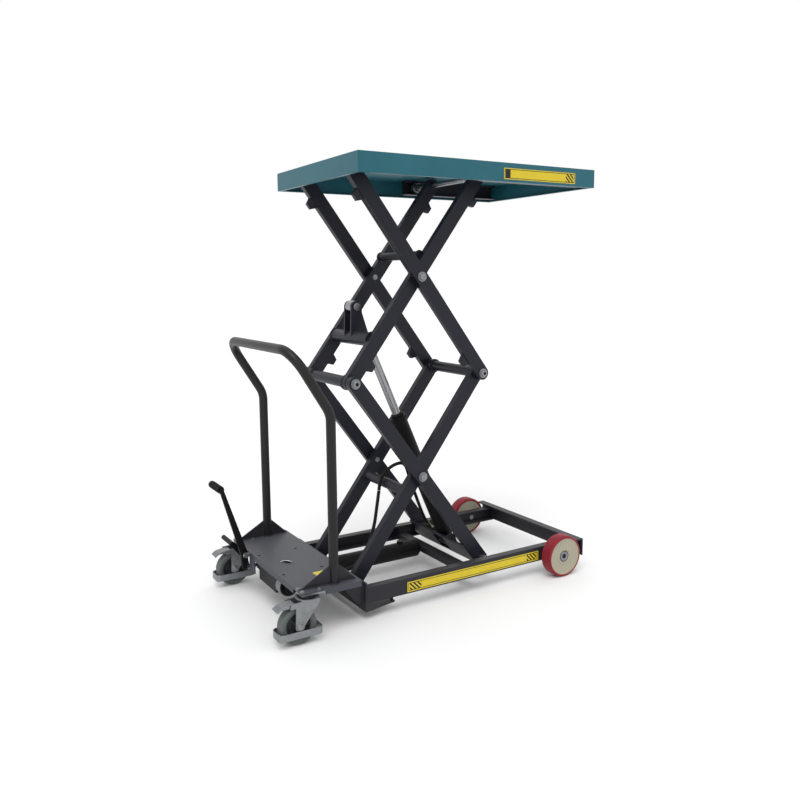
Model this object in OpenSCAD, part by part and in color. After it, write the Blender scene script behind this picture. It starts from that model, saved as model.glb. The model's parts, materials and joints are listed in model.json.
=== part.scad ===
// Manual hydraulic scissor lift table: a platform on two stacked pairs of crossed arms,
// a wheeled base with a push handle, and one foot-pumped cylinder that raises it.
// +Z is up, +X runs from the handle towards the large wheels, and the floor is z = 0.
// It is drawn raised. Lengths are in millimetres and angles in degrees.

/* [Scissor arms] */
// Length of every arm from end pivot to end pivot
arm_length = 890; // [820:1:960]
// Level distance between an arm's end pivots when the table is raised
arm_span = 535; // [480:1:600]
// Width of an arm
arm_w = 50; // [40:1:54]
// Thickness of an arm
arm_t = 25; // [16:1:28]
// Distance from the middle of the table to the inner face of an inner arm
arm_inner_y = 135; // [110:1:140]
// Side gap between an inner and an outer arm
arm_gap = 5; // [3:0.5:8]
// Diameter of the pivot pins and shafts
pin_d = 20; // [16:1:24]
// Diameter of the rollers at the sliding ends
roller_d = 45; // [40:1:46]
// Width of a roller
roller_w = 22; // [16:1:24]

/* [Platform] */
// Length of the platform
platform_l = 1000; // [920:1:1200]
// Width of the platform
platform_w = 630; // [600:1:760]
// Depth of the platform's edge
platform_h = 65; // [60:1:80]
// Sheet thickness of the platform
platform_t = 3; // [2:0.5:5]
// How far the platform reaches behind its fixed pivots
platform_overhang = 47; // [35:1:60]
// Height of the platform's top above its pivots
platform_rise = 31; // [29:0.5:34]

/* [Base frame] */
// Height of the lower pivots above the floor
base_pivot_z = 87; // [84:1:95]
// Height of a side rail
rail_h = 56; // [54:1:62]
// Width over the two side rails
rail_span = 544; // [536:1:552]
// Width of a rail's flange
rail_flange = 32; // [30:1:36]
// Wall thickness of a rail
rail_t = 5; // [3:0.5:5]
// Distance from the fixed pivots to the outer face of the front cross member
base_front = 934; // [925:1:1000]
// Distance from the fixed pivots to the outer face of the rear cross member
base_rear = 18; // [17:0.5:20]
// Height of the rear cross member
rear_h = 103; // [95:1:110]
// Height of the front cross member
front_h = 68; // [60:1:72]
// Length of the front cross member
front_l = 640; // [600:1:660]

/* [Wheels] */
// Diameter of the fixed front wheels
wheel_d = 160; // [150:1:170]
// Width of a front wheel
wheel_w = 50; // [40:1:52]
// Width over the two front wheels
wheel_span = 670; // [660:1:700]
// Distance from the fixed pivots to the front axles
wheel_x = 827; // [780:1:835]
// Diameter of the castor wheels
castor_d = 125; // [115:1:127]
// Width of a castor wheel
castor_w = 38; // [30:1:40]
// Distance from the middle of the table to a castor
castor_y = 296; // [290:1:300]
// Distance from the fixed pivots back to the castor axles
castor_x = 282; // [275:1:290]
// How far a castor's axle trails behind its swivel
castor_trail = 38; // [32:1:42]

/* [Deck and handle] */
// Height of the deck's top above the floor
deck_z = 166; // [162:1:175]
// Distance from the fixed pivots back to the deck's rear edge
deck_rear = 270; // [260:1:285]
// Distance from the fixed pivots back to the deck's front edge
deck_front = 55; // [45:1:70]
// Width of the deck
deck_w = 628; // [600:1:640]
// Diameter of the handle tube
handle_d = 32; // [25:1:38]
// Distance between the handle's legs
handle_span = 568; // [540:1:590]
// Distance from the fixed pivots back to the handle's legs
handle_x = 142; // [130:1:160]
// Height at which the handle bends back
handle_bend_z = 724; // [650:1:780]
// Height of the handle's top bar
handle_top_z = 931; // [860:1:1000]
// How far the handle's top bar lies behind its legs
handle_lean = 129; // [60:1:150]

/* [Hydraulics] */
// Outer diameter of the cylinder barrel
barrel_d = 60; // [50:1:64]
// Length of the barrel from its base pivot
barrel_l = 547; // [500:1:570]
// Diameter of the piston rod
rod_d = 32; // [25:1:36]
// Diameter of the oil reservoir
reservoir_d = 66; // [56:1:66]
// Length of the oil reservoir
reservoir_l = 422; // [340:1:430]
// Distance from the middle of the table to the reservoir
reservoir_y = 75; // [60:1:80]
// Outer diameter of the hydraulic hose
hose_d = 13; // [10:0.5:15]

/* [Foot controls] */
// Length of the pump pedal above its pivot
pedal_l = 258; // [220:1:300]
// Lean of the pump pedal from upright
pedal_lean = 17; // [12:0.5:22]
// Diameter of the pedal grip
grip_d = 26; // [20:1:32]
// Length of the pedal grip
grip_l = 100; // [80:1:120]

/* [Hidden] */
$fn = 64;

// Colours
frame_grey = [0.21, 0.21, 0.24];
arm_grey = [0.19, 0.19, 0.24];
deck_grey = [0.40, 0.41, 0.45];
handle_grey = [0.22, 0.22, 0.23];
platform_teal = [0.25, 0.49, 0.55];
black = [0.06, 0.06, 0.07];
zinc = [0.62, 0.64, 0.65];
chrome = [0.82, 0.83, 0.85];
brass = [0.72, 0.58, 0.30];
yellow = [0.80, 0.72, 0.20];
red = [0.62, 0.20, 0.24];
cream = [0.66, 0.63, 0.56];
tyre_grey = [0.42, 0.44, 0.44];

// Clearances: radial in a running bore, and beside a piece that turns
run_fit = 0.05;
side_gap = 1;
seat_gap = 0.3;

// Heights and angles of the raised scissor
stage_h = sqrt(arm_length * arm_length - arm_span * arm_span);
arm_angle = atan2(stage_h, arm_span);
mid_z = base_pivot_z + stage_h;
top_pivot_z = base_pivot_z + 2 * stage_h;
platform_top = top_pivot_z + platform_rise;
platform_front = platform_l - platform_overhang;

// Side positions of the arms
arm_mid_y = arm_inner_y + arm_t;
arm_outer_y = arm_mid_y + arm_gap;
arm_edge_y = arm_outer_y + arm_t;

// The pedal pivot, and the frame's origin under the middle of the whole table
pedal_x = -(deck_rear + 16);
pedal_y = 150;
pedal_z = deck_z - 6;
pedal_reach = -pedal_x + pedal_l * sin(pedal_lean) + grip_d / 2;
front_reach = max(platform_front, base_front);
fixed_x = (pedal_reach - front_reach) / 2;

// Thickness of the two cross members
member_t = 6;

// Rails
rail_y = rail_span / 2;
rail_inner_y = rail_y - rail_flange;
rail_bottom = base_pivot_z - rail_h / 2;
rail_top = rail_bottom + rail_h;
rail_start = -base_rear + member_t;
rail_end = base_front - member_t;
rear_bottom = rail_bottom - 29;
roller_y = rail_y - rail_t - 1.5 - roller_w / 2;
deck_t = 6;
deck_under = deck_z - deck_t;

// Cylinder pivots, in the plane y = 0
barrel_pivot = [arm_span - 30, base_pivot_z + 33];
rod_pivot = [96, mid_z + 252];
lift_tube_at = [97, mid_z + 142];
lift_tube_d = 50;
cylinder_l = norm(rod_pivot - barrel_pivot);
cylinder_lean = atan2(rod_pivot[0] - barrel_pivot[0], rod_pivot[1] - barrel_pivot[1]);
trunnion_d = 24;
lug_gap = 40;
lug_t = 8;

// Hose routes as [x, y, z], with x measured from the fixed pivots
hose_lower_route = [[-60, -60, 104], [0, -60, 104], [45, -58, 108], [85, -48, 128], [118, -38, 160],
                    [142, -30, 200], [160, -24, 245], [172, -18, 290], [182, -12, 328], [190, -8, 362]];
hose_upper_route = [[190.3, -7.9, 363.2], [196, -5, 388], [208, -2, 412], [228, 0, 430], [254, 4, 444],
                    [286, 10, 450], [314, 22, 444], [338, 36, 424], [358, 50, 388], [376, 57, 346],
                    [396, 61, 300], [416, 64, 252], [436, 65, 206], [454, 65, 174]];
hose_hole_d = hose_d + 7;
pump_port = [-60, 104];

// Directions along and across a lower outer arm, and a point s from its roller and h above its centre line
arm_run = [-cos(arm_angle), sin(arm_angle)];
arm_up = [sin(arm_angle), cos(arm_angle)];
function on_outer(s, h) = [arm_span, base_pivot_z] + arm_run * s + arm_up * h;

// Point on a Catmull-Rom curve through the four points, at share t between b and c
function curve_point(a, b, c, d, t) =
    0.5 * ((2 * b) + (c - a) * t + (2 * a - 5 * b + 4 * c - d) * t * t
           + (3 * b - a - 3 * c + d) * t * t * t);

// The route with steps extra points on each stretch
function smooth_route(p, steps) = let (n = len(p)) [
    for (i = [0 : n - 2], k = [0 : steps - 1])
        curve_point(p[max(i - 1, 0)], p[i], p[i + 1], p[min(i + 2, n - 1)], k / steps),
    p[n - 1]];

function unit(v) = v / norm(v);

// Direction of a route at point i
function heading(p, i) = unit(p[min(i + 1, len(p) - 1)] - p[max(i - 1, 0)]);

// ---------------------------------------------------------------- helpers

// Children placed at x behind or ahead of the fixed pivots
module at(x, z = 0, y = 0) {
    translate([fixed_x + x, y, z]) children();
}

// Both sides of the table
module both_sides() {
    children();
    mirror([0, 1, 0]) children();
}

// A shaft along Y between y0 and y1
module shaft(x, z, d, y0, y1) {
    at(x, z, y1) rotate([90, 0, 0]) cylinder(d = d, h = y1 - y0);
}

// An outline in the X-Z plane, made into a plate between y0 and y1
module plate(y0, y1) {
    translate([fixed_x, y1, 0]) rotate([90, 0, 0]) linear_extrude(height = y1 - y0) children();
}

// Two circles and their outer tangents
module link_outline(p, rp, q, rq) {
    d = norm(q - p);
    a = atan2(q[1] - p[1], q[0] - p[0]);
    s = acos((rp - rq) / d);
    translate(p) circle(r = rp);
    translate(q) circle(r = rq);
    polygon([p + rp * [cos(a + s), sin(a + s)], p + rp * [cos(a - s), sin(a - s)],
             q + rq * [cos(a - s), sin(a - s)], q + rq * [cos(a + s), sin(a + s)]]);
}

// A sheet-metal box edge: a block from p to q, given by opposite corners
module block(p, q) {
    translate([fixed_x + p[0], p[1], p[2]]) cube(q - p);
}

// A side direction for each point of a route, turned as little as the route allows
function sides_of(p, i, u) =
    let (t = heading(p, i), v = unit(u - t * (u * t)))
    i == len(p) - 1 ? [v] : concat([v], sides_of(p, i + 1, v));

// A round tube swept along the points of a route, with flat ends
module sweep(p, d, sides) {
    n = len(p);
    side = sides_of(p, 0, [0.3, 0.1, 0.2]);
    points = [for (i = [0 : n - 1], k = [0 : sides - 1])
              let (a = 360 * k / sides)
              p[i] + d / 2 * (cos(a) * side[i] + sin(a) * cross(heading(p, i), side[i]))];
    walls = [for (i = [0 : n - 2], k = [0 : sides - 1])
             let (a = i * sides + k, b = i * sides + (k + 1) % sides)
             [a, a + sides, b + sides, b]];
    first = [for (k = [0 : sides - 1]) k];
    last = [for (k = [sides - 1 : -1 : 0]) (n - 1) * sides + k];
    translate([fixed_x, 0, 0])
        polyhedron(points = points, faces = concat([first], walls, [last]), convexity = 6);
}

// ---------------------------------------------------------------- scissor arms

// One arm between two points, with a bore at each end and one in the middle
module arm(p, q, y0) {
    l = norm(q - p);
    plate(y0, y0 + arm_t) translate(p) rotate(atan2(q[1] - p[1], q[0] - p[0])) difference() {
        union() {
            circle(d = arm_w);
            translate([l, 0]) circle(d = arm_w);
            translate([0, -arm_w / 2]) square([l, arm_w]);
        }
        for (x = [0, l / 2, l]) translate([x, 0]) circle(d = pin_d + 2 * run_fit);
    }
}

// Four stop ears on the underside of an arm pair, near its end pivots
module stop_ears(p, q, y0) {
    ear_from_pivot = 87;
    ear_l = 46;
    ear_h = 24;
    u = (q - p) / norm(q - p);
    down = u[0] > 0 ? [u[1], -u[0]] : [-u[1], u[0]];
    for (s = [ear_from_pivot, norm(q - p) - ear_from_pivot])
        plate(y0 + 4, y0 + arm_t - 4)
            polygon([p + u * (s - ear_l / 2) + down * (arm_w / 2 - 1),
                     p + u * (s - ear_l / 4) + down * (arm_w / 2 + ear_h),
                     p + u * (s + ear_l / 4) + down * (arm_w / 2 + ear_h),
                     p + u * (s + ear_l / 2) + down * (arm_w / 2 - 1)]);
}

module lower_inner_arms() color(arm_grey)
    both_sides() arm([0, base_pivot_z], [arm_span, mid_z], arm_inner_y);

module lower_outer_arms() color(arm_grey)
    both_sides() arm([arm_span, base_pivot_z], [0, mid_z], arm_outer_y);

module upper_inner_arms() color(arm_grey)
    both_sides() {
        arm([0, mid_z], [arm_span, top_pivot_z], arm_inner_y);
        stop_ears([0, mid_z], [arm_span, top_pivot_z], arm_inner_y);
    }

module upper_outer_arms() color(arm_grey)
    both_sides() {
        arm([arm_span, mid_z], [0, top_pivot_z], arm_outer_y);
        stop_ears([arm_span, mid_z], [0, top_pivot_z], arm_outer_y);
    }

// A pin through an inner and an outer arm, with a washer and head outside
module arm_pin(x, z, from = arm_inner_y) {
    head = 9;
    shaft(x, z, pin_d, from, arm_edge_y + side_gap + 1);
    shaft(x, z, pin_d * 1.6, arm_edge_y + side_gap, arm_edge_y + side_gap + 3);
    at(x, z, arm_edge_y + side_gap + 3 + head) rotate([90, 0, 0])
        cylinder(d = pin_d * 1.3, h = head, $fn = 6);
}

// A cross shaft through two arm pairs: a tube between them with a collar at each end
module cross_shaft(x, z, tube_d) {
    collar = 10;
    shaft(x, z, tube_d, -arm_inner_y, arm_inner_y);
    both_sides() {
        shaft(x, z, tube_d + 14, arm_inner_y - collar, arm_inner_y);
        arm_pin(x, z, arm_inner_y - 1);
    }
}

module lower_cross_tube() color(arm_grey) {
    share = 0.42;
    shaft(arm_span * share, base_pivot_z + stage_h * share, 38, -arm_inner_y, arm_inner_y);
}

module lower_centre_pins() color(zinc)
    both_sides() arm_pin(arm_span / 2, base_pivot_z + stage_h / 2);

module upper_centre_pins() color(zinc)
    both_sides() arm_pin(arm_span / 2, mid_z + stage_h / 2);

module mid_right_shaft() color(arm_grey)
    cross_shaft(arm_span, mid_z, 40);

module mid_left_shaft() color(arm_grey)
    cross_shaft(0, mid_z, 40);

module upper_cross_tube() color(arm_grey) {
    share = 0.585;
    rise = 25;
    shaft(arm_span * share - rise * sin(arm_angle), mid_z + stage_h * share + rise * cos(arm_angle),
          30, -arm_inner_y, arm_inner_y);
}

// ---------------------------------------------------------------- rollers

module roller(x, z) {
    chamfer = 1.5;
    r = roller_d / 2;
    at(x, z, -roller_y) rotate([90, 0, 0]) rotate_extrude()
        polygon([[pin_d / 2 + run_fit, -roller_w / 2], [r - chamfer, -roller_w / 2],
                 [r, -roller_w / 2 + chamfer], [r, roller_w / 2 - chamfer],
                 [r - chamfer, roller_w / 2], [pin_d / 2 + run_fit, roller_w / 2]]);
}

module lower_roller_right() color(zinc) roller(arm_span, base_pivot_z);
module lower_roller_left() color(zinc) mirror([0, 1, 0]) roller(arm_span, base_pivot_z);
module upper_roller_right() color(zinc) roller(arm_span, top_pivot_z);
module upper_roller_left() color(zinc) mirror([0, 1, 0]) roller(arm_span, top_pivot_z);

module lower_roller_axles() color(zinc)
    both_sides() {
        shaft(arm_span, base_pivot_z, pin_d, arm_outer_y, roller_y + roller_w / 2);
        shaft(arm_span, base_pivot_z, pin_d + 10, arm_edge_y, roller_y - roller_w / 2 - seat_gap);
        shaft(arm_span, base_pivot_z, pin_d + 12, arm_outer_y - 4, arm_outer_y);
    }

module upper_shaft() color(zinc) {
    shaft(arm_span, top_pivot_z, pin_d, -roller_y - roller_w / 2, roller_y + roller_w / 2);
    both_sides()
        shaft(arm_span, top_pivot_z, pin_d + 10, arm_mid_y, roller_y - roller_w / 2 - seat_gap);
}

// ---------------------------------------------------------------- lift tube, cylinder

module lift_tube() color(arm_grey) {
    shaft(lift_tube_at[0], lift_tube_at[1], lift_tube_d, -arm_inner_y, arm_inner_y);
    both_sides() {
        plate(lug_gap / 2, lug_gap / 2 + lug_t) difference() {
            union() {
                link_outline(lift_tube_at + [0, 10], 25, rod_pivot, 21);
                polygon([lift_tube_at + [-12, 0], lift_tube_at + [46, 14], rod_pivot + [18, -10]]);
            }
            translate(rod_pivot) circle(d = pin_d + 0.2);
            translate(lift_tube_at) circle(d = lift_tube_d - 0.2);
        }
    }
}

module rod_pin() color(chrome) {
    out = lug_gap / 2 + lug_t + side_gap;
    shaft(rod_pivot[0], rod_pivot[1], pin_d, -out, out);
    both_sides() shaft(rod_pivot[0], rod_pivot[1], pin_d + 8, out, out + 4);
}

// Children drawn along +Z from the barrel's base pivot towards the rod pivot
module along_cylinder() {
    at(barrel_pivot[0], barrel_pivot[1]) rotate([0, cylinder_lean, 0]) children();
}

module barrel() color(black)
    along_cylinder() {
        difference() {
            union() {
                translate([0, 0, 22]) cylinder(d = barrel_d, h = barrel_l - 22);
                translate([0, 0, 6]) cylinder(d = barrel_d - 8, h = 18);
                rotate([90, 0, 0]) cylinder(d = 50, h = 56, center = true);
            }
            translate([0, 0, 60]) cylinder(d = barrel_d - 12, h = barrel_l);
        }
        rotate([90, 0, 0]) cylinder(d = trunnion_d, h = 100, center = true);
    }

module gland() color(black)
    along_cylinder() translate([0, 0, barrel_l]) difference() {
        union() {
            cylinder(d = barrel_d + 6, h = 16);
            translate([0, 0, 16]) cylinder(d = barrel_d - 12, h = 8);
        }
        translate([0, 0, -1]) cylinder(d = rod_d + 2 * run_fit, h = 40);
    }

module piston_rod() color(chrome)
    along_cylinder() {
        piston_at = barrel_l - 36;
        translate([0, 0, piston_at]) cylinder(d = barrel_d - 12 - 2 * seat_gap, h = 24);
        translate([0, 0, piston_at]) cylinder(d = rod_d, h = cylinder_l - piston_at - 16);
        translate([0, 0, cylinder_l]) rotate([90, 0, 0]) difference() {
            cylinder(d = 42, h = lug_gap - 2 * side_gap, center = true);
            cylinder(d = pin_d + 2 * run_fit, h = lug_gap, center = true);
        }
    }

// Cross plate under the outer arms with two open hooks that the barrel's trunnion rests in
module cylinder_saddle() color(arm_grey) {
    under = arm_w / 2;
    plate_t = 6;
    hook_y = 36;
    seat_r = trunnion_d / 2 + 0.5;
    difference() {
        plate(-arm_edge_y, arm_edge_y)
            polygon([on_outer(8, -under), on_outer(104, -under),
                     on_outer(104, -under - plate_t), on_outer(8, -under - plate_t)]);
        plate(-hook_y + 2, hook_y - 2)
            polygon([on_outer(14, 0), on_outer(89, 0),
                     on_outer(89, -under - 20), on_outer(14, -under - 20)]);
    }
    both_sides() {
        plate(hook_y, hook_y + 8) difference() {
            polygon([on_outer(16, -under), on_outer(18, -4), on_outer(26, 8),
                     on_outer(72, 8), on_outer(80, -4), on_outer(84, -under)]);
            translate(barrel_pivot) circle(d = trunnion_d + 1);
            polygon([barrel_pivot - arm_run * seat_r, barrel_pivot + arm_run * seat_r,
                     barrel_pivot + arm_run * (seat_r + 4) + arm_up * 40,
                     barrel_pivot - arm_run * (seat_r + 4) + arm_up * 40]);
        }
        plate(arm_outer_y - 20, arm_outer_y - 12)
            polygon([on_outer(14, -under), on_outer(30, 10),
                     on_outer(60, 14), on_outer(90, -under)]);
    }
}

// Brass elbow and valve block on the cross plate, where the hose ends
module cylinder_fittings() color(brass) {
    under = -arm_w / 2;
    plate(54, 76)
        polygon([on_outer(64, under), on_outer(88, under), on_outer(88, 1), on_outer(64, 1)]);
    hose_end = hose_upper_route[len(hose_upper_route) - 1];
    at(hose_end[0], hose_end[2], hose_end[1]) rotate([0, 90 + arm_angle, 0]) {
        translate([0, 0, 0.9]) cylinder(d = 18, h = 20, $fn = 6);
        translate([0, 0, 0.9]) cylinder(d = 12, h = 36);
    }
}

// ---------------------------------------------------------------- platform

module platform_pan() color(platform_teal) {
    lip = 15;
    x0 = -platform_overhang;
    x1 = platform_front;
    y1 = platform_w / 2;
    z1 = platform_top;
    z0 = z1 - platform_h;
    difference() {
        block([x0, -y1, z0], [x1, y1, z1]);
        block([x0 + platform_t, -y1 + platform_t, z0 + platform_t],
              [x1 - platform_t, y1 - platform_t, z1 - platform_t]);
        block([x0 + lip, -y1 + lip, z0 - 1], [x1 - lip, y1 - lip, z0 + platform_t + 1]);
    }
}

// Roller channels and pivot lugs under the platform, with their pins
module platform_tracks() color(arm_grey) {
    z1 = platform_top - platform_t;
    z0 = top_pivot_z - roller_d / 2 - rail_t - 0.5;
    z_in = top_pivot_z + roller_d / 2 + 0.5;
    track_from = arm_span - 60;
    track_to = platform_front - 26;
    lug_w = 52;
    both_sides() {
        block([track_from, rail_y - rail_t, z0], [track_to, rail_y, z1]);
        block([track_from, rail_inner_y, z0], [track_to, rail_y, z0 + rail_t]);
        block([track_from, rail_inner_y, z_in], [track_to, rail_y, z1]);
        for (y = [arm_outer_y - side_gap - lug_t, arm_edge_y + side_gap])
            plate(y, y + lug_t) union() {
                translate([0, top_pivot_z]) circle(d = lug_w - 8);
                translate([-lug_w / 2 + 4, top_pivot_z]) square([lug_w - 8, z1 - top_pivot_z]);
            }
        shaft(0, top_pivot_z, pin_d, arm_outer_y - side_gap - lug_t - 2, arm_edge_y + side_gap + lug_t + 6);
    }
}

module platform_decal() color(yellow)
    block([525, -platform_w / 2 - 0.6, platform_top - 56],
          [855, -platform_w / 2, platform_top - 18]);

// ---------------------------------------------------------------- base frame

module rail() {
    difference() {
        block([rail_start, -rail_y, rail_bottom], [rail_end, -rail_inner_y, rail_top]);
        block([rail_start - 1, -rail_y + rail_t, rail_bottom + rail_t],
              [rail_end + 1, -rail_inner_y + 1, rail_top - rail_t]);
        shaft(wheel_x, wheel_d / 2, pin_d + 0.2, -rail_y - 1, -rail_inner_y);
    }
}

module rail_right() color(frame_grey) rail();
module rail_left() color(frame_grey) mirror([0, 1, 0]) rail();

// Upright plate with windows for the arm ends, a foot flange and the pivot lugs
// The fixed pivot pins' outer collars
pivot_collar_d = pin_d + 3;
pivot_collar_y = arm_mid_y + side_gap + lug_t + 1;

module rear_cross_member() color(frame_grey) {
    foot_l = 112;
    lug_r = 24;
    window = arm_w + 8;
    difference() {
        block([-base_rear, -rail_y, rear_bottom], [rail_start, rail_y, rear_bottom + rear_h]);
        both_sides()
            block([-base_rear - 1, arm_inner_y - 3, base_pivot_z - window / 2],
                  [rail_start + 1, arm_mid_y + 3, base_pivot_z + window / 2]);
        at(-base_rear - 1, pump_port[1], pump_port[0]) rotate([0, 90, 0])
            cylinder(d = hose_hole_d, h = member_t + 2);
        both_sides()
            shaft(0, base_pivot_z, pivot_collar_d + 0.6, pivot_collar_y - 0.3, pivot_collar_y + 4.3);
    }
    both_sides() {
        translate([fixed_x, 0, rear_bottom]) linear_extrude(height = member_t)
            polygon([[rail_start, -rail_y], [foot_l, -rail_y + 25], [foot_l, -rail_inner_y + 30],
                     [30, -rail_inner_y + 60], [30, 0], [rail_start, 0]]);
        block([foot_l - 10, -rail_y + 30, rear_bottom + member_t],
              [foot_l - 4, -rail_inner_y + 10, rail_bottom]);
        for (y = [arm_inner_y - side_gap - lug_t, arm_mid_y + side_gap])
            plate(y, y + lug_t) difference() {
                union() {
                    translate([0, base_pivot_z]) circle(r = lug_r);
                    translate([rail_start, base_pivot_z - lug_r]) square([-rail_start, 2 * lug_r]);
                }
                translate([rail_start - 2 * lug_r, base_pivot_z - 2 * lug_r]) square([2 * lug_r, 4 * lug_r]);
                translate([0, base_pivot_z]) circle(d = pin_d + 0.2);
            }
    }
}

module base_pivot_pins() color(zinc)
    both_sides() {
        shaft(0, base_pivot_z, pin_d, arm_inner_y - side_gap - lug_t - 1, pivot_collar_y + 1);
        shaft(0, base_pivot_z, pivot_collar_d, pivot_collar_y, pivot_collar_y + 4);
    }

module front_cross_member() color(frame_grey) {
    flange = 34;
    top = rail_bottom + 2 + front_h;
    block([rail_end, -front_l / 2, rail_bottom + 2], [base_front, front_l / 2, top]);
    block([base_front - flange, -front_l / 2, top - member_t], [base_front, front_l / 2, top]);
}

module mid_cross_bar() color(frame_grey) {
    bar_w = 40;
    bar_h = 25;
    wall = 3;
    x0 = arm_span - 115;
    difference() {
        block([x0, -rail_inner_y, rail_bottom], [x0 + bar_w, rail_inner_y, rail_bottom + bar_h]);
        block([x0 + wall, -rail_y, rail_bottom + wall],
              [x0 + bar_w - wall, rail_y, rail_bottom + bar_h - wall]);
    }
}

module deck_plate() color(deck_grey) {
    w = deck_w / 2;
    flange_t = 4;
    flange_h = 20;
    flange_from = -castor_x + castor_trail + 59;
    tongue = 68;
    hole_d = 11;
    difference() {
        union() {
            block([-deck_rear, -w, deck_under], [-deck_front, w, deck_z]);
            both_sides()
                block([flange_from, -w, deck_z - flange_h], [-deck_front, -w + flange_t, deck_under]);
            block([-deck_rear, -castor_y + 50, deck_z - flange_h],
                  [-deck_rear + flange_t, castor_y - 50, deck_under]);
            block([-deck_rear, pedal_y - 54, deck_z - tongue],
                  [-deck_rear + flange_t, pedal_y + 32, deck_under]);
        }
        block([-deck_rear - 1, pedal_y - 5, deck_z - tongue - 1],
              [-deck_rear + flange_t + 1, pedal_y + pedal_t + 5, deck_under]);
        castor_bolt_holes();
        for (x = [-265 + 12, -111], y = [-130, 90])
            at(x, deck_under - 1, y) cylinder(d = hole_d, h = deck_t + 2);
        at(-193, deck_under - 1, -20) {
            for (y = [-9, 9]) translate([0, y, 0]) cylinder(d = 22, h = deck_t + 2);
            translate([-11, -9, 0]) cube([22, 18, deck_t + 2]);
        }
    }
}

// Handle gussets on the deck, and the cheeks that join the deck to the rear cross member
module deck_gussets() color(frame_grey) {
    gusset_t = 5;
    gusset_h = 62;
    y0 = handle_span / 2 - gusset_t / 2;
    cheek_y = 250;
    r = handle_d / 2 + 0.1;
    both_sides() {
        plate(y0, y0 + gusset_t) difference() {
            polygon([[-deck_rear + 4, deck_z], [-handle_x - 16, deck_z + gusset_h],
                     [-handle_x + 16, deck_z + gusset_h], [-deck_front - 6, deck_z]]);
            translate([-handle_x - r, deck_z - 1]) square([2 * r, gusset_h + 2]);
        }
        plate(cheek_y, cheek_y + 6)
            polygon([[-118, deck_under], [-deck_front, deck_under], [-base_rear, rear_bottom + rear_h],
                     [-base_rear, rail_bottom], [-40, rail_bottom]]);
    }
}

// Handle: two legs, a bend back, rounded corners and a top bar
module handle_tube() color(handle_grey) {
    bend_r = 90;
    corner_r = 80;
    bend_steps = 5;
    corner_steps = 8;
    lean = atan2(handle_lean, handle_top_z - handle_bend_z);
    rise = bend_r * tan(lean / 2);
    corner_at = norm([handle_lean, handle_top_z - handle_bend_z]) - corner_r;
    y0 = handle_span / 2;
    leg = [[-handle_x, y0, deck_z]];
    bend = [for (i = [0 : bend_steps]) let (a = lean * i / bend_steps)
            [-handle_x - bend_r * (1 - cos(a)), y0, handle_bend_z - rise + bend_r * sin(a)]];
    corner = [for (i = [0 : corner_steps])
              let (a = 90 * i / corner_steps, s = corner_at + corner_r * sin(a))
              [-handle_x - s * sin(lean), y0 - corner_r * (1 - cos(a)), handle_bend_z + s * cos(lean)]];
    half = concat(leg, bend, corner);
    n = len(half);
    other_half = [for (i = [n - 1 : -1 : 0]) [half[i][0], -half[i][1], half[i][2]]];
    sweep(concat(half, other_half), handle_d, 24);
}

// ---------------------------------------------------------------- pump and reservoir

module pump_body() color(black) {
    difference() {
        union() {
            block([-266, -142, deck_under - 6], [-98, 102, deck_under]);
            block([-262, -84, 88], [-140, 70, deck_under - 6]);
            block([-234, 70, 92], [-186, pedal_y + 18, 136]);
            shaft(-232, 118, 62, -128, -84);
            shaft(-232, 118, 40, -146, -128);
            at(-150, pump_port[1], pump_port[0]) rotate([0, 90, 0]) cylinder(d = 30, h = 62);
        }
        at(-240, plunger_z, pedal_y + pedal_t / 2) rotate([0, 90, 0])
            cylinder(d = plunger_d + 2 * run_fit, h = 50);
    }
}

module pump_fitting() color(brass)
    at(-88, pump_port[1], pump_port[0]) rotate([0, 90, 0]) {
        cylinder(d = 22, h = 14, $fn = 6);
        cylinder(d = 16, h = 27.5);
    }

module oil_reservoir() color(black) {
    cap = 8;
    z = base_pivot_z - 11;
    at(rail_start, z, reservoir_y) rotate([0, 90, 0]) {
        cylinder(d = reservoir_d, h = reservoir_l - cap);
        translate([0, 0, reservoir_l - cap]) cylinder(d1 = reservoir_d, d2 = reservoir_d - 12, h = cap);
    }
    at(rail_start + reservoir_l - 80, z, reservoir_y) cylinder(d = 24, h = reservoir_d / 2 + 8);
}

module hose_lower() color(black) sweep(smooth_route(hose_lower_route, 4), hose_d, 10);
module hose_upper() color(black) sweep(smooth_route(hose_upper_route, 4), hose_d, 10);

// ---------------------------------------------------------------- foot controls

pedal_t = 12;
pedal_hub_r = 13;
pedal_pin_d = 12;
heel_l = 52;
heel_r = 8;
pedal_tip = [pedal_x - pedal_l * sin(pedal_lean), pedal_z + pedal_l * cos(pedal_lean)];
pedal_heel = [pedal_x, pedal_z - heel_l];
plunger_z = pedal_heel[1];
plunger_d = 14;

module pedal_lever() color(black) {
    plate(pedal_y, pedal_y + pedal_t) difference() {
        union() {
            link_outline([pedal_x, pedal_z], pedal_hub_r, pedal_tip, 7);
            link_outline([pedal_x, pedal_z], pedal_hub_r, pedal_heel, heel_r);
        }
        translate([pedal_x, pedal_z]) circle(d = pedal_pin_d + 2 * run_fit);
    }
    shaft(pedal_tip[0], pedal_tip[1], 14, pedal_y, pedal_y + pedal_t + grip_l - 4);
}

module pedal_grip() color(black)
    difference() {
        shaft(pedal_tip[0], pedal_tip[1], grip_d, pedal_y + pedal_t, pedal_y + pedal_t + grip_l);
        shaft(pedal_tip[0], pedal_tip[1], 14.1, pedal_y, pedal_y + pedal_t + grip_l - 3.9);
    }

module pump_plunger() color(chrome) {
    play = 1.6;
    at(pedal_heel[0] + heel_r + play, plunger_z, pedal_y + pedal_t / 2) rotate([0, 90, 0]) {
        cylinder(d = plunger_d + 6, h = 4);
        cylinder(d = plunger_d, h = 50);
    }
}

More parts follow.
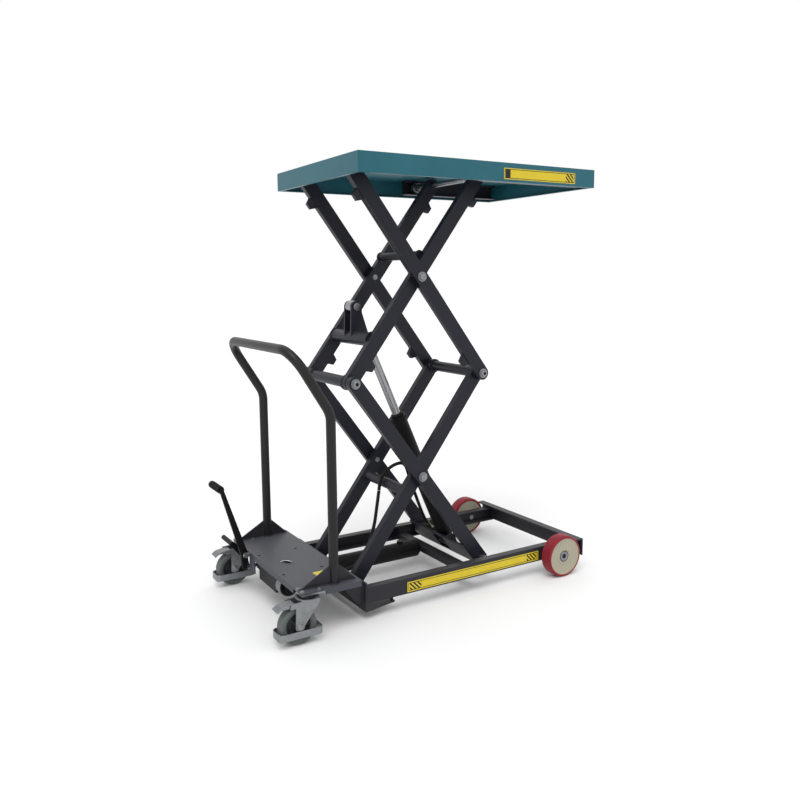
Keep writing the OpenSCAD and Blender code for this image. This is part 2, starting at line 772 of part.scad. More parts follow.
// Bent foot bar that opens the lowering valve, hinged on the same pin as the pedal
module release_lever() color(black) {
    arm_y = pedal_y + 30;
    bar = [pedal_x - 34, pedal_z + 34];
    plate(arm_y, arm_y + 8) difference() {
        link_outline([pedal_x, pedal_z], pedal_hub_r, bar, 9);
        translate([pedal_x, pedal_z]) circle(d = pedal_pin_d + 2 * run_fit);
    }
    shaft(bar[0], bar[1], 18, arm_y, arm_y + 96);
}

// ---------------------------------------------------------------- fasteners

module bolt(x, y, d) {
    at(x, deck_z, y) cylinder(d = d * 1.8, h = d * 0.6, $fn = 6);
    at(x, deck_under - 8, y) cylinder(d = d, h = deck_t + 8);
}

castor_bolt_d = 8;
castor_bolts = [for (dx = [-20, 38], dy = [-22, 8]) [-castor_x + castor_trail + dx, castor_y + dy]];

module castor_bolt_holes() {
    both_sides()
        for (c = castor_bolts)
            at(c[0], deck_under - 20, c[1]) cylinder(d = castor_bolt_d + 0.4, h = 30);
}

module deck_bolts() color(zinc) {
    both_sides()
        for (c = castor_bolts) bolt(c[0], c[1], castor_bolt_d);
    shaft(pedal_x, pedal_z, pedal_pin_d, pedal_y - 18, pedal_y + 44);
    shaft(pedal_x, pedal_z, 19, pedal_y - 22, pedal_y - 14);
    shaft(pedal_x, pedal_z, 19, pedal_y + 40, pedal_y + 46);
    block([pedal_x - 8, pedal_y - 14, pedal_z - 8], [-deck_rear, pedal_y - 6, pedal_z + 4]);
}

module front_axles() color(zinc)
    both_sides() {
        y1 = wheel_span / 2;
        shaft(wheel_x, wheel_d / 2, pin_d, rail_y - rail_t, y1 - 6);
        shaft(wheel_x, wheel_d / 2, pin_d + 12, rail_y, y1 - wheel_w - side_gap);
        shaft(wheel_x, wheel_d / 2, pin_d + 12, y1 - 10, y1 - 7);
    }

module base_decals() color(yellow) {
    block([148, -rail_y - 0.6, rail_bottom + 6], [745, -rail_y, rail_bottom + 42]);
    translate([fixed_x, 0, deck_z]) linear_extrude(height = 0.6)
        polygon([[-205, -240], [-120, -240], [-150, -180]]);
}

// ---------------------------------------------------------------- front wheels

// Children turned so that their axis is the front axle, with +Z pointing outwards
module on_front_axle() {
    at(wheel_x, wheel_d / 2, -wheel_span / 2 + wheel_w / 2) rotate([90, 0, 0]) children();
}

core_d = wheel_d - 18;

module front_tyre() color(red)
    on_front_axle() rotate_extrude() {
        r = wheel_d / 2;
        h = wheel_w / 2;
        round = (r - core_d / 2) * 0.48;
        polygon([[core_d / 2, -h], [r - round, -h], [r - round, h], [core_d / 2, h]]);
        polygon([[r - round, -h + round], [r, -h + round], [r, h - round], [r - round, h - round]]);
        for (s = [-1, 1]) translate([r - round, s * (h - round)]) circle(r = round);
    }

module front_core() color(cream)
    on_front_axle() rotate_extrude() {
        bore = pin_d / 2 + run_fit;
        polygon([[bore, -wheel_w / 2], [30, -wheel_w / 2], [32, -16], [46, -16], [50, -22],
                 [core_d / 2, -22], [core_d / 2, 22], [50, 22], [46, 12], [32, 12], [30, 15], [bore, 15]]);
    }

module front_tyre_right() front_tyre();
module front_tyre_left() mirror([0, 1, 0]) front_tyre();
module front_core_right() front_core();
module front_core_left() mirror([0, 1, 0]) front_core();

// ---------------------------------------------------------------- castors

castor_z = castor_d / 2;
castor_plate_t = 6;
castor_race_h = 4;
castor_top = deck_under - castor_plate_t - castor_race_h;
fork_t = 4;
fork_in = castor_w / 2 + 3;
brake_pivot = [-castor_trail - 20, castor_top - 16];
brake_pin_d = 6;

// Children placed with the castor's swivel axis on z, x = 0 and y = 0
module at_swivel() {
    translate([fixed_x - castor_x + castor_trail, -castor_y, 0]) children();
}

// An outline in the castor's own X-Z plane, made into a plate between y0 and y1
module castor_slab(y0, y1) {
    translate([0, y1, 0]) rotate([90, 0, 0]) linear_extrude(height = y1 - y0) children();
}

module castor_plates() color(zinc) {
    difference() {
        both_sides() at_swivel()
            translate([-25, -17, deck_under - castor_plate_t]) cube([78, 47, castor_plate_t]);
        castor_bolt_holes();
    }
    both_sides() at_swivel() {
        translate([0, 0, castor_top]) cylinder(d = 34, h = castor_race_h);
        translate([0, 0, castor_top - 12]) cylinder(d = 14, h = 14);
    }
}

module castor_fork() color(zinc)
    at_swivel() {
        difference() {
            translate([0, 0, castor_top - 6 - seat_gap]) cylinder(d = 76, h = 6);
            translate([0, 0, castor_top - 12]) cylinder(d = 14 + 2 * run_fit, h = 14);
        }
        for (s = [-1, 1])
            castor_slab(s > 0 ? fork_in : -fork_in - fork_t, s > 0 ? fork_in + fork_t : -fork_in)
                difference() {
                    union() {
                        translate([-castor_trail, castor_z]) circle(r = 15);
                        polygon([[-castor_trail - 15, castor_z], [-castor_trail - 12, castor_top - 24],
                                 [-castor_trail - 30, castor_top - 26], [-castor_trail - 30, castor_top - 8],
                                 [-36, castor_top - 6 - seat_gap], [34, castor_top - 6 - seat_gap],
                                 [30, castor_top - 22], [-castor_trail + 15, castor_z]]);
                    }
                    translate([-castor_trail, castor_z]) circle(d = 12.2);
                }
        translate([-castor_trail, 0, castor_z]) rotate([90, 0, 0]) {
            cylinder(d = 12, h = 2 * (fork_in + fork_t), center = true);
            for (s = [-1, 1]) translate([0, 0, s * (fork_in + fork_t + 2.5)])
                cylinder(d = 19, h = 5, center = true, $fn = 6);
        }
        translate([brake_pivot[0], 0, brake_pivot[1]]) rotate([90, 0, 0])
            cylinder(d = brake_pin_d, h = 2 * (fork_in + fork_t), center = true);
    }

// Band that runs round the wheel just above the floor to push feet and cables aside
module castor_guard() color(zinc)
    at_swivel() translate([-castor_trail + 3, 0, 28]) {
        wall = 3;
        half_l = 76;
        half_w = fork_in + fork_t + 8;
        corner = 16;
        linear_extrude(height = 24) difference() {
            union() {
                square([2 * half_l - 2 * corner, 2 * half_w], center = true);
                square([2 * half_l, 2 * half_w - 2 * corner], center = true);
                for (x = [-1, 1], y = [-1, 1])
                    translate([x * (half_l - corner), y * (half_w - corner)]) circle(r = corner);
            }
            square([2 * half_l - 2 * corner, 2 * (half_w - wall)], center = true);
            square([2 * (half_l - wall), 2 * half_w - 2 * corner], center = true);
            for (x = [-1, 1], y = [-1, 1])
                translate([x * (half_l - corner), y * (half_w - corner)]) circle(r = corner - wall);
        }
        for (s = [-1, 1]) translate([-11, s > 0 ? fork_in + fork_t : -half_w + wall - 0.2, 3])
            cube([16, half_w - wall - fork_in - fork_t + 0.2, 21]);
    }

module castor_wheel() color(tyre_grey)
    at_swivel() translate([-castor_trail, 0, castor_z]) rotate([90, 0, 0]) rotate_extrude() {
        r = castor_d / 2;
        h = castor_w / 2;
        hub = 16;
        round = 8;
        polygon([[6 + run_fit, -h - 2], [hub, -h - 2], [hub, -8], [r - 22, -8], [r - 20, -h + 4],
                 [r - round, -h], [r - round, h], [r - 20, h - 4], [r - 22, 8], [hub, 8],
                 [hub, h + 2], [6 + run_fit, h + 2]]);
        polygon([[r - round, -h + round], [r, -h + round], [r, h - round], [r - round, h - round]]);
        for (s = [-1, 1]) translate([r - round, s * (h - round)]) circle(r = round);
    }

// Brake pedal that is trodden down over the wheel, hinged on a pin in the fork
module castor_brake() color(zinc)
    at_swivel() castor_slab(-fork_in + side_gap, fork_in - side_gap) difference() {
        polygon([brake_pivot + [8, -5], brake_pivot + [8, 5], brake_pivot + [-8, 6],
                 brake_pivot + [-40, 0], brake_pivot + [-54.5, -10.5], brake_pivot + [-52.5, -14.5],
                 brake_pivot + [-38, -5], brake_pivot + [-8, -6]]);
        translate(brake_pivot) circle(d = brake_pin_d + 2 * run_fit);
    }

module castor_fork_right() castor_fork();
module castor_fork_left() mirror([0, 1, 0]) castor_fork();
module castor_guard_right() castor_guard();
module castor_guard_left() mirror([0, 1, 0]) castor_guard();
module castor_wheel_right() castor_wheel();
module castor_wheel_left() mirror([0, 1, 0]) castor_wheel();
module castor_brake_right() castor_brake();
module castor_brake_left() mirror([0, 1, 0]) castor_brake();

// ---------------------------------------------------------------- one line per node

rail_right();
rail_left();
rear_cross_member();
front_cross_member();
mid_cross_bar();
base_pivot_pins();
deck_plate();
deck_gussets();
handle_tube();
pump_body();
oil_reservoir();
hose_lower();
pump_fitting();
deck_bolts();
front_axles();
castor_plates();
base_decals();
pedal_lever();
pedal_grip();
pump_plunger();
release_lever();
front_tyre_right();
front_tyre_left();
front_core_right();
front_core_left();
castor_fork_right();
castor_fork_left();
castor_guard_right();
castor_guard_left();
castor_wheel_right();
castor_wheel_left();
castor_brake_right();
castor_brake_left();
lower_inner_arms();
lower_outer_arms();
upper_inner_arms();
upper_outer_arms();
lower_cross_tube();
lower_centre_pins();
mid_right_shaft();
cylinder_saddle();
lower_roller_axles();
lower_roller_right();
lower_roller_left();
upper_roller_right();
upper_roller_left();
upper_cross_tube();
lift_tube();
mid_left_shaft();
upper_centre_pins();
upper_shaft();
hose_upper();
cylinder_fittings();
barrel();
gland();
piston_rod();
rod_pin();
platform_pan();
platform_tracks();
platform_decal();
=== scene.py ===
import bpy, bmesh, json, math
from mathutils import Matrix, Vector


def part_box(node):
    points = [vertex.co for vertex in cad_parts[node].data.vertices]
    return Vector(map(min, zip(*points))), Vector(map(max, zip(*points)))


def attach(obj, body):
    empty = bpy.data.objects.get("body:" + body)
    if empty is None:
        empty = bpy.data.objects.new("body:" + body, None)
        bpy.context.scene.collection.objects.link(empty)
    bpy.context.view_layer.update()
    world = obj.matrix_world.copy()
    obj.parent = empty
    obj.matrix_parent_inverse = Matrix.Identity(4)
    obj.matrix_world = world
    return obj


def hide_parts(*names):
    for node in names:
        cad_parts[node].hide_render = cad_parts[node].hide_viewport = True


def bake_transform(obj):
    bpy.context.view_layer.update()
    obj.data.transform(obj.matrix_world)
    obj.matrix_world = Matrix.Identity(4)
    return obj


# Double scissor lift table with a foot-pumped cylinder. The floor is z = 0 and the handle is at -X.
# Places and profiles are in millimetres, which at() and lathe() turn into metres.
# Sizes of welds, ribs, spokes, films and rounded edges are in metres.
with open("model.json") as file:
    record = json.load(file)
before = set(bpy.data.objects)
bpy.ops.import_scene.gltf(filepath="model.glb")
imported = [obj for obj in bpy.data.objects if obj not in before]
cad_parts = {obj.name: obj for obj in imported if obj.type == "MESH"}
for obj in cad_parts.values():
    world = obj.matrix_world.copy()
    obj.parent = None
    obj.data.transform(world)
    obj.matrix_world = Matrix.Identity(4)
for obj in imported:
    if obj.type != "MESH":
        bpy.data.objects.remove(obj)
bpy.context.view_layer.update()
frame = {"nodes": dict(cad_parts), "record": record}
behaviour = frame["record"]["behaviour"]
bodyOf = {node: body for body, nodes in behaviour["bodies"].items() for node in nodes}
slotOf = {part["node"]: part["material_slot"] for part in frame["record"]["subparts"]}
joints = {joint["name"]: joint for joint in behaviour["joints"]}
scene = bpy.context.scene
sides = (("right", -1), ("left", 1))
upward, leftward = (0, 0, 1), (0, 1, 0)

fixedX = joints["lift"]["pos_m"][0]  # the fixed lower pivots' place along the table
basePivotZ = joints["lift"]["pos_m"][2]
kneeZ = joints["left_knee"]["pos_m"][2]
armSpan = joints["right_knee"]["pos_m"][0] - fixedX
stageH = kneeZ - basePivotZ
armAngle = math.atan2(stageH, armSpan)


def at(x, y, z):
    # a point from millimetres, x counted from the fixed pivots
    return Vector((x / 1000 + fixedX, y / 1000, z / 1000))


print("camera")
cameraSettings = {"place": (-1.5280, -2.4935, 1.1490), "azimuth": -31.14, "down": 7.65, "roll": -0.52,
                  "lens": 35.40, "sensor": 36, "shiftX": 0.0067, "shiftY": -0.0200, "near": 0.05, "far": 60}


def makeCamera(s):
    data = bpy.data.cameras.new("camera")
    data.lens, data.sensor_width = s["lens"], s["sensor"]
    data.shift_x, data.shift_y = s["shiftX"], s["shiftY"]
    data.clip_start, data.clip_end = s["near"], s["far"]
    camera = bpy.data.objects.new("camera", data)
    scene.collection.objects.link(camera)
    azimuth, down = math.radians(s["azimuth"]), math.radians(s["down"])
    ahead = Vector((-math.sin(azimuth) * math.cos(down), math.cos(azimuth) * math.cos(down),
                    -math.sin(down)))
    turn = ahead.to_track_quat("-Z", "Y").to_matrix() @ Matrix.Rotation(math.radians(s["roll"]), 3, "Z")
    camera.matrix_world = Matrix.Translation(Vector(s["place"])) @ turn.to_4x4()
    scene.camera = camera


makeCamera(cameraSettings)


class Wire:
    # an output socket that can be used in plain sums
    def __init__(self, finish, socket):
        self.finish, self.socket = finish, socket

    def __add__(self, other):
        return self.finish.sum("ADD", self, other)

    def __radd__(self, other):
        return self.finish.sum("ADD", self, other)

    def __sub__(self, other):
        return self.finish.sum("SUBTRACT", self, other)

    def __rsub__(self, other):
        return self.finish.sum("SUBTRACT", other, self)

    def __mul__(self, other):
        return self.finish.sum("MULTIPLY", self, other)

    def __truediv__(self, other):
        return self.finish.sum("DIVIDE", self, other)

    def __gt__(self, other):
        return self.finish.sum("GREATER_THAN", self, other)

    def __lt__(self, other):
        return self.finish.sum("LESS_THAN", self, other)


class Finish:
    # one material, whose methods each add a step to its node tree
    inputNames = {"colour": "Base Color", "rough": "Roughness", "metal": "Metallic", "normal": "Normal"}
    specular = 0.18

    def __init__(self, name, metallic=0.0, coat=0.0, coatRough=0.1):
        self.material = bpy.data.materials.new(name)
        self.material.use_nodes = True
        self.tree = self.material.node_tree
        self.tree.nodes.clear()
        self.shader = self.tree.nodes.new("ShaderNodeBsdfPrincipled")
        output = self.tree.nodes.new("ShaderNodeOutputMaterial")
        self.tree.links.new(self.shader.outputs[0], output.inputs[0])
        self.shader.inputs["Metallic"].default_value = metallic
        self.shader.inputs["Coat Weight"].default_value = coat
        self.shader.inputs["Coat Roughness"].default_value = coatRough
        self.shader.inputs["Specular IOR Level"].default_value = self.specular
        self.place = self.node("ShaderNodeTexCoord", out="Object")

    def node(self, kind, settings=None, values=None, out=0):
        made = self.tree.nodes.new(kind)
        for key, value in (settings or {}).items():
            setattr(made, key, value)
        for key, value in (values or {}).items():
            self.plug(made.inputs[key], value)
        return Wire(self, made.outputs[out])

    def plug(self, socket, value):
        if isinstance(value, Wire):
            self.tree.links.new(value.socket, socket)
        else:
            socket.default_value = value

    def sum(self, operation, a, b):
        return self.node("ShaderNodeMath", {"operation": operation}, {0: a, 1: b})

    def clamp(self, value):
        return self.node("ShaderNodeClamp", None, {0: value})

    def along(self, vector, axis):
        return self.node("ShaderNodeSeparateXYZ", None, {0: vector}, axis)

    def stretch(self, size):
        # the place, scaled differently along each axis
        return self.node("ShaderNodeVectorMath", {"operation": "MULTIPLY"}, {0: self.place, 1: size})

    def noise(self, scale, detail, rough, place=None):
        return self.node("ShaderNodeTexNoise", None, {"Vector": place or self.place, "Scale": scale,
                                                      "Detail": detail, "Roughness": rough}, "Fac")

    def step(self, value, low, high):
        # 0 below low, 1 above high, smooth between
        return self.node("ShaderNodeMapRange", {"interpolation_type": "SMOOTHSTEP"},
                         {0: value, 1: low, 2: high})

    def mix(self, share, a, b):
        return self.node("ShaderNodeMix", {"data_type": "RGBA"}, {0: share, 6: a, 7: b}, 2)

    def normal(self):
        return self.node("ShaderNodeNewGeometry", None, None, "Normal")

    def edge(self, radius):
        # 1 where the surface turns sharply within the radius
        soft = self.node("ShaderNodeBevel", {"samples": 4}, {"Radius": radius})
        same = self.node("ShaderNodeVectorMath", {"operation": "DOT_PRODUCT"},
                         {0: soft, 1: self.normal()}, 1)
        return self.step(1 - same, 0.01, 0.16)

    def up(self):
        # how far the surface faces up
        return self.along(self.normal(), 2)

    def bump(self, height, distance, strength):
        return self.node("ShaderNodeBump", None, {"Height": height, "Distance": distance,
                                                  "Strength": strength})

    def set(self, **values):
        for key, value in values.items():
            self.plug(self.shader.inputs[self.inputNames[key]], value)


def shade(rgb, gain=1, lift=0):
    # a screen colour, 0 to 255, made lighter or darker, as the shader's linear colour
    def one(v):
        v = min(255, v * gain + lift) / 255
        return v / 12.92 if v <= 0.04045 else ((v + 0.055) / 1.055) ** 2.4
    return tuple(one(v) for v in rgb) + (1.0,)


paintLook = {"worn": (120, 120, 122), "dust": (158, 154, 146), "edge": 0.0016, "grain": 0.00008,
             "mottle": 7.0, "scuff": 24.0, "chip": 85.0, "peel": (420.0, 1500.0)}
platedLook = {"grime": (88, 82, 74), "grain": 0.00003, "cloud": 38.0, "lines": 900.0, "dirt": 16.0}
rubberLook = {"cloud": 26.0, "speck": 700.0, "scuff": 48.0}
filmLook = {"ground": (214, 190, 40), "border": (26, 26, 26), "line": 0.0022, "band": 0.016, "grain": 0.0001}


def paint(name, rgb, rough, wear, dust, worn=paintLook["worn"], coat=0.15):
    # sprayed paint: orange peel, faint mottling, scuffs, chipped edges and dust on top
    look = Finish(name, coat=coat, coatRough=0.3)
    mottle = look.noise(paintLook["mottle"], 4.0, 0.6)
    fine = look.noise(60.0, 3.0, 0.6)
    scuff = look.step(look.noise(paintLook["scuff"], 6.0, 0.7, look.stretch((1.0, 1.0, 5.0))), 0.66, 0.78)
    flaked = look.step(look.noise(paintLook["chip"], 4.0, 0.65), 0.60 - 0.12 * wear, 0.68 - 0.1 * wear)
    chip = look.edge(paintLook["edge"]) * flaked
    base = look.mix(mottle, shade(rgb, 0.93), shade(rgb, 1.07, 2))
    scuffed = look.mix(scuff * 0.28 * wear, base, shade(rgb, 1.35, 12))
    dusty = look.mix(look.step(look.up(), 0.55, 1.0) * fine * dust * 2, scuffed, shade(paintLook["dust"]))
    coarsePeel, finePeel = paintLook["peel"]
    peel = look.noise(coarsePeel, 2.0, 0.5) + look.noise(finePeel, 1.0, 0.5) * 0.3
    look.set(colour=look.mix(chip * 0.8 * wear, dusty, shade(worn)),
             rough=look.clamp(rough + (mottle - 0.5) * 0.14 + scuff * 0.12 + fine * 0.05),
             normal=look.bump(peel, paintLook["grain"], 0.5))
    return look.material


def plated(name, rgb, rough, mottle, brushed=(1.0, 1.0, 1.0), grime=0.3):
    # zinc, nickel or chrome plate, with cloudy patches, fine lines and dirt in places
    look = Finish(name, metallic=1.0)
    cloud = look.noise(platedLook["cloud"], 4.0, 0.6)
    lines = look.noise(platedLook["lines"], 2.0, 0.6, look.stretch(brushed))
    dirt = look.step(look.noise(platedLook["dirt"], 5.0, 0.65), 0.52, 0.75) * grime
    base = look.mix(cloud * mottle, shade(rgb), shade(rgb, 0.78))
    look.set(colour=look.mix(dirt, base, shade(platedLook["grime"])), metal=look.clamp(1.0 - dirt * 0.6),
             rough=look.clamp(rough + (cloud - 0.5) * 0.2 * mottle + lines * 0.06 + dirt * 0.3),
             normal=look.bump(lines, platedLook["grain"], 0.4))
    return look.material


def rubber(name, rgb, rough, dust, grain=0.0001):
    # rubber or plain plastic, slightly cloudy, with dull scuffs
    look = Finish(name)
    cloud = look.noise(rubberLook["cloud"], 4.0, 0.6)
    speck = look.noise(rubberLook["speck"], 3.0, 0.6)
    scuff = look.step(look.noise(rubberLook["scuff"], 6.0, 0.7), 0.56, 0.72)
    base = look.mix(cloud, shade(rgb, 0.88), shade(rgb, 1.1, 2))
    look.set(colour=look.mix(scuff * dust, base, shade(rgb, 0.7, 52)),
             rough=look.clamp(rough + scuff * 0.15 + (cloud - 0.5) * 0.1),
             normal=look.bump(speck + cloud, grain, 0.6))
    return look.material


def film(name, box, inset=0.004, marks=(), stripes=()):
    # printed vinyl film in the X-Z plane: a dark border line, solid panels and slanted bands
    look = Finish(name, coat=0.25, coatRough=0.2)
    x, z = look.along(look.place, 0), look.along(look.place, 2)
    (x0, z0), (x1, z1) = box

    def inside(left, right, bottom, top):
        return (x > left) * (x < right) * (z > bottom) * (z < top)

    def framed(gap):
        return inside(x0 + gap, x1 - gap, z0 + gap, z1 - gap)

    mask = framed(inset) * (1 - framed(inset + filmLook["line"]))
    for left, right, bottom, top in marks:
        mask = mask + inside(x0 + left, x0 + right, z0 + bottom, z0 + top)
    slant = look.sum("FRACT", (x + z) / filmLook["band"], 0.0) > 0.5
    for left, right in stripes:
        mask = mask + inside(x0 + left, x0 + right, z0 + inset, z1 - inset) * slant
    fade = look.noise(22.0, 4.0, 0.6)
    rub = look.step(look.noise(120.0, 5.0, 0.7), 0.62, 0.74)
    ground, border = filmLook["ground"], filmLook["border"]
    printed = look.mix(look.clamp(mask), look.mix(fade, shade(ground), shade(ground, 0.86)), shade(border))
    look.set(colour=look.mix(rub * 0.25, printed, shade(ground, 0.72)),
             rough=look.clamp(0.36 + fade * 0.12 + rub * 0.2),
             normal=look.bump(fade, filmLook["grain"], 0.3))
    return look.material


print("finishes")
finishes = {
    "frame": paint("framePaint", (34, 34, 40), 0.46, 0.5, 0.05),
    "arms": paint("armPaint", (23, 24, 34), 0.44, 0.4, 0.05),
    "deck": paint("deckPaint", (60, 63, 71), 0.52, 0.5, 0.06),
    "handle": paint("handlePaint", (22, 22, 24), 0.40, 0.35, 0.05, coat=0.2),
    "platform": paint("platformPaint", (30, 88, 100), 0.40, 0.4, 0.05, (60, 66, 70), 0.2),
    "hydraulic_black": paint("blackPaint", (5, 5, 7), 0.48, 0.2, 0.02, coat=0.0),
    "zinc": plated("zincPlate", (148, 152, 155), 0.40, 0.7),
    "chrome": plated("hardChrome", (150, 151, 154), 0.2, 0.3, (1.0, 1.0, 0.05), 0.2),
    "brass": plated("brass", (150, 140, 116), 0.34, 0.5),
    "hose": rubber("hoseRubber", (12, 12, 13), 0.5, 0.12),
    "grip": rubber("gripRubber", (18, 18, 19), 0.66, 0.2),
    "red_polyurethane": rubber("redTread", (128, 30, 42), 0.42, 0.08),
    "wheel_core": paint("coreEnamel", (158, 152, 134), 0.50, 0.4, 0.03, (96, 92, 84)),
    "castor_rubber": rubber("castorRubber", (86, 92, 91), 0.55, 0.2),
    "rim": rubber("rimNylon", (38, 39, 42), 0.45, 0.2, 0.00005),
    "weld": paint("weldPaint", (40, 40, 48), 0.40, 0.2, 0.02),
    "seal": rubber("sealRubber", (18, 18, 19), 0.5, 0.2),
    "dark_steel": plated("darkSteel", (96, 96, 98), 0.42, 0.6),
}


def finishPiece(obj, body, finish, replaced=()):
    obj.data.materials.clear()
    obj.data.materials.append(finishes[finish] if isinstance(finish, str) else finish)
    if body:
        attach(obj, body)
    if replaced:
        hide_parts(*replaced)
    return obj


def objectFrom(bm, name, sharp=35):
    bmesh.ops.recalc_face_normals(bm, faces=bm.faces)
    mesh = bpy.data.meshes.new(name)
    bm.to_mesh(mesh)
    bm.free()
    mesh.shade_smooth()
    mesh.set_sharp_from_angle(angle=math.radians(sharp))
    obj = bpy.data.objects.new(name, mesh)
    scene.collection.objects.link(obj)
    return obj


rounding = {"merge": 0.00001, "flat": 0.5, "corner": 38, "sharp": 40, "segments": 2}


def rounded(node, width):
    # the node's own shape with every sharp edge rounded, as bent sheet and cut plate have
    bm = bmesh.new()
    bm.from_mesh(frame["nodes"][node].data)
    bmesh.ops.remove_doubles(bm, verts=bm.verts, dist=rounding["merge"])
    bmesh.ops.dissolve_limit(bm, angle_limit=math.radians(rounding["flat"]), verts=bm.verts, edges=bm.edges)
    obj = objectFrom(bm, node.replace("_", ".") + ".rounded", rounding["sharp"])
    bevel = obj.modifiers.new("edges", "BEVEL")
    bevel.width, bevel.segments, bevel.limit_method = width, rounding["segments"], "ANGLE"
    bevel.angle_limit, bevel.harden_normals = math.radians(rounding["corner"]), True
    bevel.miter_outer = "MITER_ARC"
    return finishPiece(obj, bodyOf[node], slotOf[node], [node])


def axisTurn(axis):
    return Vector(axis).normalized().to_track_quat("Z", "Y").to_matrix().to_4x4()


weldLook = {"pitch": 0.0035, "valley": 0.82, "ripple": 0.18, "end": 0.6}


def ripple(i):
    # the share of a weld's full radius at its i-th ring, three rings to a ripple
    return weldLook["valley"] + weldLook["ripple"] * abs(math.sin(i * math.pi / 3))


class Build:
    # gathers several shapes into one piece
    def __init__(self, name, body, slot, finish=None, sharp=35):
        self.name, self.body, self.slot, self.sharp = name, body, slot, sharp
        self.finish = finish or slot
        self.bm = bmesh.new()

    def rings(self, rings, closed=False):
        # skins a list of rings of points; closed joins the last to the first
        made = [[self.bm.verts.new(p) for p in ring] for ring in rings]
        count = len(made[0])
        pairs = list(zip(made, made[1:])) + ([(made[-1], made[0])] if closed else [])
        for a, b in pairs:
            for k in range(count):
                self.bm.faces.new((a[k], a[(k + 1) % count], b[(k + 1) % count], b[k]))
        if not closed:
            self.bm.faces.new(made[0][::-1])
            self.bm.faces.new(made[-1])
        return self

    def lathe(self, profile, place, axis, steps, closed=True):
        # turns (radius, along) points about the axis through place; closed joins the last to the first
        onAxis = 1e-7
        profile = [(r / 1000, z / 1000) for r, z in profile]
        turn = Matrix.Translation(place) @ axisTurn(axis)
        made = []
        for k in range(steps):
            angle = 2 * math.pi * k / steps
            made.append([self.bm.verts.new(turn @ Vector((r * math.cos(angle), r * math.sin(angle), z)))
                         for r, z in profile])
        count = len(profile)
        for k in range(steps):
            a, b = made[k], made[(k + 1) % steps]
            for i in range(count if closed else count - 1):
                j = (i + 1) % count
                if profile[i][0] > onAxis or profile[j][0] > onAxis:
                    self.bm.faces.new((a[i], b[i], b[j], a[j]))
        bmesh.ops.remove_doubles(self.bm, verts=[v for ring in made for v in ring], dist=onAxis)
        return self

    def tube(self, points, radius, sides, closed=False):
        # a round tube along points; radius is a number or a function of the point's number
        size = radius if callable(radius) else (lambda i: radius)
        count, rings, side = len(points), [], Vector((0.31, 0.12, 0.2))
        for i, p in enumerate(points):
            before = points[(i - 1) % count] if closed or i else p
            after = points[(i + 1) % count] if closed or i < count - 1 else p
            heading = (after - before).normalized()
            side = (side - heading * side.dot(heading)).normalized()
            other = heading.cross(side)
            rings.append([p + size(i) * (math.cos(t) * side + math.sin(t) * other)
                          for t in (2 * math.pi * k / sides for k in range(sides))])
        return self.rings(rings, closed)

    def bead(self, start, end, size):
        # a ripple weld along a straight line, thinner at its two ends
        count = max(6, int((end - start).length / weldLook["pitch"] * 3))
        points = [start.lerp(end, i / count) for i in range(count + 1)]
        return self.tube(points, lambda i: size * ripple(i) * (weldLook["end"] if i in (0, count) else 1), 8)

    def ringBead(self, place, radius, axis, size):
        # a ripple weld round a tube
        turn = Matrix.Translation(place) @ axisTurn(axis)
        count = max(24, int(2 * math.pi * radius / weldLook["pitch"]) * 3)
        points = [turn @ Vector((radius * math.cos(a), radius * math.sin(a), 0))
                  for a in (2 * math.pi * i / count for i in range(count))]
        return self.tube(points, lambda i: size * ripple(i), 6, True)

    def hexHead(self, place, axis, across, height):
        # a hexagon whose corners are turned down towards the top
        turn = Matrix.Translation(place) @ axisTurn(axis)
        corner, flat, steps = across / math.sqrt(3), across / 2, 48

        def hexRadius(a):
            return flat / math.cos((a + math.pi / 6) % (math.pi / 3) - math.pi / 6)

        rings = []
        for z, cap in ((0, corner), (height * 0.82, corner), (height, flat * 0.99)):
            ring = []
            for k in range(steps):
                a = 2 * math.pi * k / steps
                reach = min(hexRadius(a), cap)
                ring.append(turn @ Vector((math.cos(a) * reach, math.sin(a) * reach, z)))
            rings.append(ring)
        return self.rings(rings)

    def block(self, low, high):
        for v in bmesh.ops.create_cube(self.bm, size=1.0)["verts"]:
            v.co = Vector(((low[k] + high[k]) / 2 + v.co[k] * (high[k] - low[k])) for k in range(3))
        return self

    def done(self, replaced=()):
        obj = objectFrom(self.bm, self.name, self.sharp)
        return finishPiece(obj, self.body, self.finish, replaced)


def mirrored(points):
    return [Vector((p.x, -p.y, p.z)) for p in points]


def bothWays(half):
    # a profile from one half of it, (radius, distance from the middle) towards the rim
    return [(r, -z) for r, z in half] + [(r, z) for r, z in half[::-1]]


def sleeve(inner, outer, low, high):
    # the profile of a plain ring, or of a bar if inner is 0
    return [(inner, low), (outer, low), (outer, high), (inner, high)]


def catmull(points, steps):
    # a smooth curve through the points, with steps stretches between two of them
    out = []
    for i in range(len(points) - 1):
        a, b = points[max(i - 1, 0)], points[i]
        c, d = points[i + 1], points[min(i + 2, len(points) - 1)]
        for k in range(steps):
            t = k / steps
            out.append(0.5 * ((2 * b) + (c - a) * t + (2 * a - 5 * b + 4 * c - d) * t * t
                              + (3 * b - a - 3 * c + d) * t * t * t))
    return out + [points[-1].copy()]


